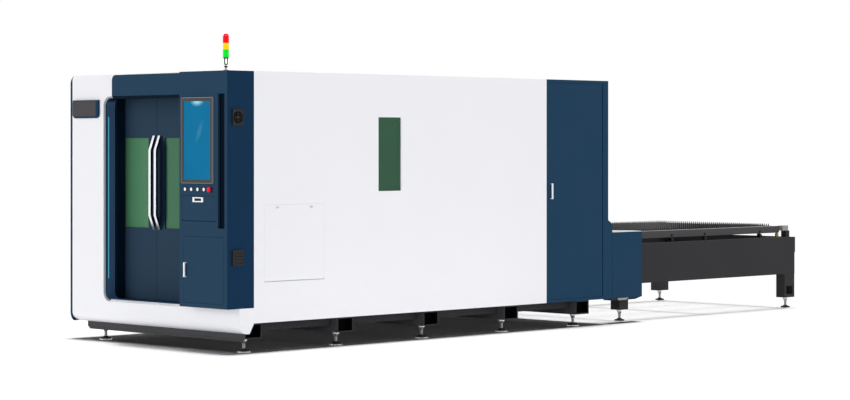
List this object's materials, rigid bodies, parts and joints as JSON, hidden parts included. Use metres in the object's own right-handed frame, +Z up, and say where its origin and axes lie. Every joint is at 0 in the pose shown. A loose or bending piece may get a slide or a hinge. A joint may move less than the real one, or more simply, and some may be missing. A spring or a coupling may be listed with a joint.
{
  "type": "laser cutting machine",
  "caption": "Enclosed sheet-metal laser cutter: white and navy cabin with sliding doors and a control console, and an exchange table whose saw-tooth pallet rolls out behind.",
  "frame": {"origin": "centre of the bounding box in plan, on the floor", "axes": "+X from the operator's end to the exchange table, +Y to the far side, +Z up"},
  "size_m": [7.688, 2.242, 2.545],
  "materials": {
    "white_paint": "satin powder coat",
    "navy_paint": "satin powder coat",
    "white_hatch": "satin powder coat",
    "dark_frame": "textured paint",
    "bed_grey": "satin paint",
    "pallet_grey": "satin paint",
    "slat_steel": "sheared sheet",
    "bright_chrome": "polished",
    "ground_steel": "ground",
    "wheel_steel": "turned",
    "black_plastic": "moulded",
    "white_plastic": "moulded",
    "red_plastic": "moulded",
    "grey_plastic": "moulded",
    "pale_plastic": "moulded",
    "light_grey": "satin paint",
    "head_aluminium": "anodised",
    "laser_glass": "tinted",
    "display": "lit panel",
    "cyan_light": "lit strip",
    "lens_green": "moulded",
    "lens_yellow": "moulded",
    "lens_red": "moulded"
  },
  "bodies": {
    "machine": {"base_frame": "dark_frame", "levelling_feet": "bright_chrome", "machine_bed": "bed_grey", "guide_rails": "ground_steel", "near_side_panel": "white_paint", "side_window": "laser_glass", "far_side_panel": "white_paint", "roof_panel": "white_paint", "front_panel": "white_paint", "front_edge_trim": "navy_paint", "door_frame": "navy_paint", "light_strip": "cyan_light", "control_cabinet": "navy_paint", "header_fascia": "navy_paint", "console_panel": "navy_paint", "screen_bezel": "black_plastic", "screen": "display", "button_rings": "black_plastic", "vent_covers": "black_plastic", "tower_mount": "grey_plastic", "tower_lens_green": "lens_green", "tower_lens_yellow": "lens_yellow", "tower_lens_red": "lens_red", "rear_shell": "navy_paint", "rear_end_wall": "navy_paint", "dome_camera": "pale_plastic", "table_frame": "dark_frame", "end_stops": "light_grey", "drive_box": "navy_paint"},
    "leaf_left": {"door_leaf_left": "navy_paint", "door_window_left": "laser_glass", "door_grip_left": "bright_chrome"},
    "leaf_right": {"door_leaf_right": "navy_paint", "door_window_right": "laser_glass", "door_grip_right": "bright_chrome"},
    "lower_door": {"cabinet_door": "navy_paint", "cabinet_pull": "white_plastic"},
    "flap": {"keyboard_flap": "navy_paint", "keyboard": "black_plastic", "flap_latch": "white_plastic"},
    "button_1": {"push_button_1": "white_plastic"},
    "button_2": {"push_button_2": "white_plastic"},
    "button_3": {"push_button_3": "white_plastic"},
    "button_4": {"push_button_4": "white_plastic"},
    "stop": {"stop_button": "red_plastic"},
    "hatch": {"side_hatch": "white_hatch"},
    "lock_1": {"hatch_lock_1": "ground_steel"},
    "lock_2": {"hatch_lock_2": "ground_steel"},
    "back_door": {"rear_door": "navy_paint", "rear_pull": "white_plastic"},
    "fan": {"fan_rotor": "black_plastic"},
    "gantry": {"gantry_beam": "bed_grey"},
    "carriage": {"head_carriage": "head_aluminium"},
    "head": {"cutting_head": "head_aluminium"},
    "pallet": {"pallet_frame": "pallet_grey", "pallet_slats": "slat_steel"},
    "wheels_1": {"pallet_wheels_1": "wheel_steel"},
    "wheels_2": {"pallet_wheels_2": "wheel_steel"},
    "wheels_3": {"pallet_wheels_3": "wheel_steel"},
    "wheels_4": {"pallet_wheels_4": "wheel_steel"}
  },
  "joints": [
    {"name": "left_leaf_slide", "type": "slide", "parent": "machine", "child": "leaf_left", "axis": [0, 1, 0], "range_m": [0, 0.36]},
    {"name": "right_leaf_slide", "type": "slide", "parent": "machine", "child": "leaf_right", "axis": [0, -1, 0], "range_m": [0, 0.36]},
    {"name": "lower_door_hinge", "type": "hinge", "parent": "machine", "child": "lower_door", "pos_m": [-3.808, -1.046, 0.661], "axis": [0, 0, 1], "range_deg": [0, 95]},
    {"name": "flap_hinge", "type": "hinge", "parent": "machine", "child": "flap", "pos_m": [-3.808, -0.75, 1.061], "axis": [0, -1, 0], "range_deg": [0, 90]},
    {"name": "button_1_press", "type": "slide", "parent": "machine", "child": "button_1", "axis": [1, 0, 0], "range_m": [0, 0.004], "stiffness_N_per_m": 500},
    {"name": "button_2_press", "type": "slide", "parent": "machine", "child": "button_2", "axis": [1, 0, 0], "range_m": [0, 0.004], "stiffness_N_per_m": 500},
    {"name": "button_3_press", "type": "slide", "parent": "machine", "child": "button_3", "axis": [1, 0, 0], "range_m": [0, 0.004], "stiffness_N_per_m": 500},
    {"name": "button_4_press", "type": "slide", "parent": "machine", "child": "button_4", "axis": [1, 0, 0], "range_m": [0, 0.004], "stiffness_N_per_m": 500},
    {"name": "stop_press", "type": "slide", "parent": "machine", "child": "stop", "axis": [1, 0, 0], "range_m": [0, 0.006]},
    {"name": "hatch_hinge", "type": "hinge", "parent": "machine", "child": "hatch", "pos_m": [-3.107, -1.084, 0.577], "axis": [1, 0, 0], "range_deg": [0, 90]},
    {"name": "lock_1_turn", "type": "hinge", "parent": "hatch", "child": "lock_1", "pos_m": [-3.291, -1.099, 1.157], "axis": [0, -1, 0], "range_deg": [0, 90]},
    {"name": "lock_2_turn", "type": "hinge", "parent": "hatch", "child": "lock_2", "pos_m": [-2.923, -1.099, 1.157], "axis": [0, -1, 0], "range_deg": [0, 90]},
    {"name": "back_door_hinge", "type": "hinge", "parent": "machine", "child": "back_door", "pos_m": [0.693, -1.084, 1.24], "axis": [0, 0, 1], "range_deg": [0, 95]},
    {"name": "fan_spin", "type": "hinge", "parent": "machine", "child": "fan", "pos_m": [-3.718, -1.092, 1.879], "axis": [0, 1, 0], "continuous": true},
    {"name": "gantry_slide", "type": "slide", "parent": "machine", "child": "gantry", "axis": [1, 0, 0], "range_m": [-0.85, 2.2]},
    {"name": "carriage_slide", "type": "slide", "parent": "gantry", "child": "carriage", "axis": [0, 1, 0], "range_m": [-0.72, 0.72]},
    {"name": "head_slide", "type": "slide", "parent": "carriage", "child": "head", "axis": [0, 0, 1], "range_m": [-0.025, 0.08]},
    {"name": "pallet_slide", "type": "slide", "parent": "machine", "child": "pallet", "axis": [-1, 0, 0], "range_m": [0, 3.9]},
    {"name": "wheels_1_roll", "type": "hinge", "parent": "pallet", "child": "wheels_1", "pos_m": [0.7412, -0.099, 0.7435], "axis": [0, -1, 0], "range_deg": [0, 11300]},
    {"name": "wheels_2_roll", "type": "hinge", "parent": "pallet", "child": "wheels_2", "pos_m": [1.9626, -0.099, 0.7435], "axis": [0, -1, 0], "range_deg": [0, 11300]},
    {"name": "wheels_3_roll", "type": "hinge", "parent": "pallet", "child": "wheels_3", "pos_m": [2.4741, -0.099, 0.7435], "axis": [0, -1, 0], "range_deg": [0, 11300]},
    {"name": "wheels_4_roll", "type": "hinge", "parent": "pallet", "child": "wheels_4", "pos_m": [3.3638, -0.099, 0.7435], "axis": [0, -1, 0], "range_deg": [0, 11300]}
  ],
  "couplings": [
    {"joint": "wheels_1_roll", "follows": "pallet_slide", "rad_per_m": 50},
    {"joint": "wheels_2_roll", "follows": "pallet_slide", "rad_per_m": 50},
    {"joint": "wheels_3_roll", "follows": "pallet_slide", "rad_per_m": 50},
    {"joint": "wheels_4_roll", "follows": "pallet_slide", "rad_per_m": 50}
  ]
}
